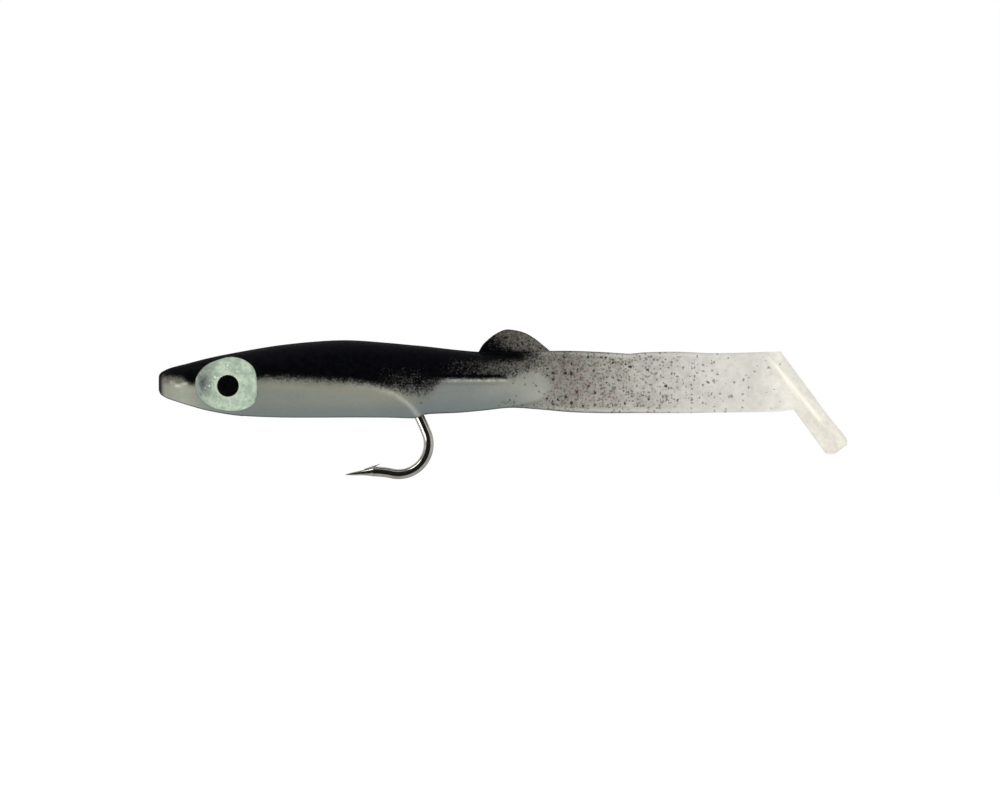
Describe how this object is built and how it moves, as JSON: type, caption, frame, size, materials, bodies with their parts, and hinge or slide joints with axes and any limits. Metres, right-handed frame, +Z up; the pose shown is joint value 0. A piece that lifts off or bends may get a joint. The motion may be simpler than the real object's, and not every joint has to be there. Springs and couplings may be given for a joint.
{
  "type": "soft swimbait lure",
  "caption": "Soft eel-shaped swimbait with a belly hook, lead keel, luminous raised eyes, a thin tail blade and a crosswise paddle.",
  "frame": {"origin": "mouth of the line hole, at the centre of the flat nose face", "axes": "+X from the nose towards the tail, +Z up through the back, -Y the lure's left side; XZ is its plane of symmetry"},
  "size_m": [0.1148, 0.0096, 0.025],
  "materials": {
    "painted_skin": "soft vinyl, black speckled back over a translucent grey-green belly",
    "smoky_skin": "soft translucent vinyl with dark specks",
    "milky_skin": "soft milky translucent vinyl with fine dark specks",
    "luminous_plastic": "pale green luminous plastic, finely mottled",
    "pupil_black": "flat black disc",
    "nickel_wire": "bright nickel plate",
    "lead": "dull cast lead"
  },
  "bodies": {
    "root": {"front_body": "painted_skin", "keel_weight": "lead", "left_eye": "luminous_plastic", "right_eye": "luminous_plastic", "left_pupil": "pupil_black", "right_pupil": "pupil_black"},
    "hook": {"hook": "nickel_wire"},
    "rear_body": {"rear_body": "painted_skin"},
    "dorsal_fin": {"dorsal_fin": "smoky_skin"},
    "tail_front": {"tail_blade_front": "milky_skin"},
    "tail_rear": {"tail_blade_rear": "milky_skin"},
    "paddle": {"tail_paddle": "milky_skin"}
  },
  "joints": [
    {"name": "hook_swing", "type": "hinge", "parent": "root", "child": "hook", "pos_m": [0.0159, 0, 0.0005], "axis": [0, 1, 0], "range_deg": [0, 14]},
    {"name": "body_bend", "type": "hinge", "parent": "root", "child": "rear_body", "pos_m": [0.0445, 0, 0], "axis": [0, 0, 1], "range_deg": [-12, 12], "stiffness_Nm_per_rad": 0.004},
    {"name": "tail_bend", "type": "hinge", "parent": "rear_body", "child": "tail_front", "pos_m": [0.0664, 0, 0], "axis": [0, 0, 1], "range_deg": [-25, 25], "stiffness_Nm_per_rad": 0.0015},
    {"name": "blade_bend", "type": "hinge", "parent": "tail_front", "child": "tail_rear", "pos_m": [0.085, 0, 0], "axis": [0, 0, 1], "range_deg": [-25, 25], "stiffness_Nm_per_rad": 0.0012},
    {"name": "paddle_flap", "type": "hinge", "parent": "tail_rear", "child": "paddle", "pos_m": [0.1005, 0, 0.00281], "axis": [0.5878, 0, -0.809], "range_deg": [-30, 30], "stiffness_Nm_per_rad": 0.0006},
    {"name": "fin_fold", "type": "hinge", "parent": "rear_body", "child": "dorsal_fin", "pos_m": [0.0594, 0, 0.0057], "axis": [1, 0, 0], "range_deg": [-40, 40], "stiffness_Nm_per_rad": 0.0002}
  ]
}
